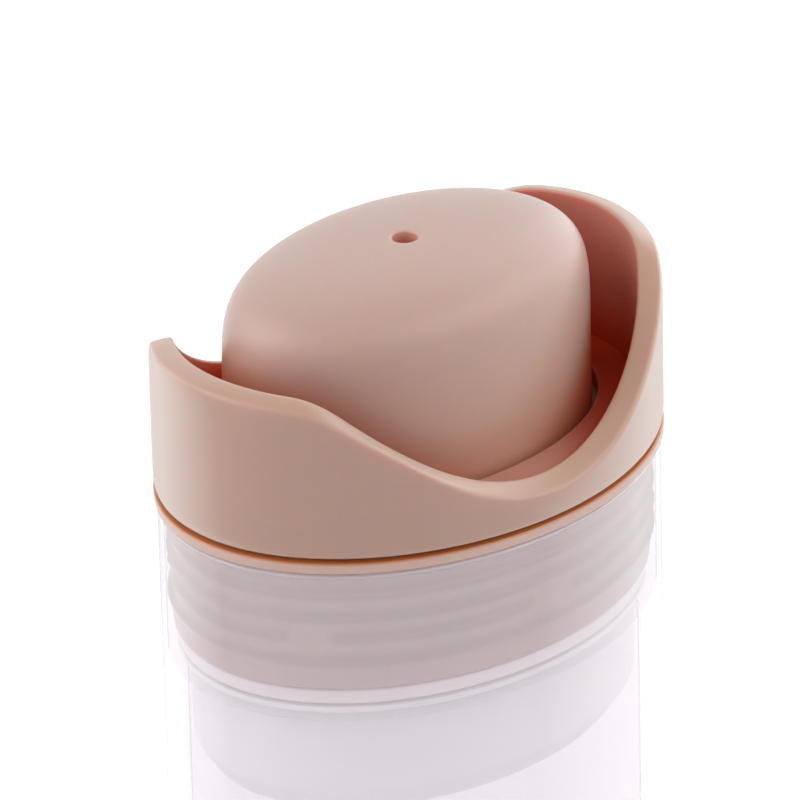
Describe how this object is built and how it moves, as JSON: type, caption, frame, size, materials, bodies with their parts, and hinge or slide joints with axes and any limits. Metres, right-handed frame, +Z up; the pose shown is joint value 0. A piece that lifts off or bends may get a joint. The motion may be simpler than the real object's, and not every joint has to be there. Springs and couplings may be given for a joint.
{
  "type": "airless pump bottle",
  "caption": "Oval frosted airless bottle with a wave-rimmed collar, a domed push button, a spring pump and a rising follower piston.",
  "frame": {"origin": "middle of the underside, on the oval's centre", "axes": "+Z up along the pump's axis, +X along the oval's long axis, +Y through a flat side"},
  "size_m": [0.0456, 0.0352, 0.1158],
  "materials": {
    "frosted_plastic": "frosted, translucent",
    "tan_plastic": "satin moulded",
    "natural_plastic": "natural, milky",
    "white_plastic": "satin moulded",
    "seal_plastic": "soft, waxy",
    "spring_steel": "bright drawn"
  },
  "bodies": {
    "bottle": {"outer_bottle": "frosted_plastic", "base_plug": "white_plastic", "pump_base": "tan_plastic", "wave_collar": "tan_plastic", "chamber_plug": "natural_plastic", "pump_cylinder": "natural_plastic", "cylinder_cap": "white_plastic", "cap_gasket": "seal_plastic", "foot_gasket": "seal_plastic", "neck_gasket": "seal_plastic", "inlet_cage": "white_plastic", "return_spring": "spring_steel"},
    "plunger": {"actuator_button": "tan_plastic", "stem": "white_plastic", "piston_rod": "white_plastic"},
    "piston": {"piston_seal": "seal_plastic"},
    "ball": {"inlet_ball": "spring_steel"},
    "follower": {"follower_piston": "seal_plastic"}
  },
  "joints": [
    {"name": "button_press", "type": "slide", "parent": "bottle", "child": "plunger", "axis": [0, 0, -1], "range_m": [0, 0.0035], "stiffness_N_per_m": 1200, "springref_m": -0.006, "deforming": ["return_spring"]},
    {"name": "piston_shuttle", "type": "slide", "parent": "plunger", "child": "piston", "axis": [0, 0, 1], "range_m": [0, 0.0008]},
    {"name": "ball_lift", "type": "slide", "parent": "bottle", "child": "ball", "axis": [0, 0, 1], "range_m": [0, 0.0008]},
    {"name": "follower_rise", "type": "slide", "parent": "bottle", "child": "follower", "axis": [0, 0, 1], "range_m": [0, 0.0538]}
  ]
}
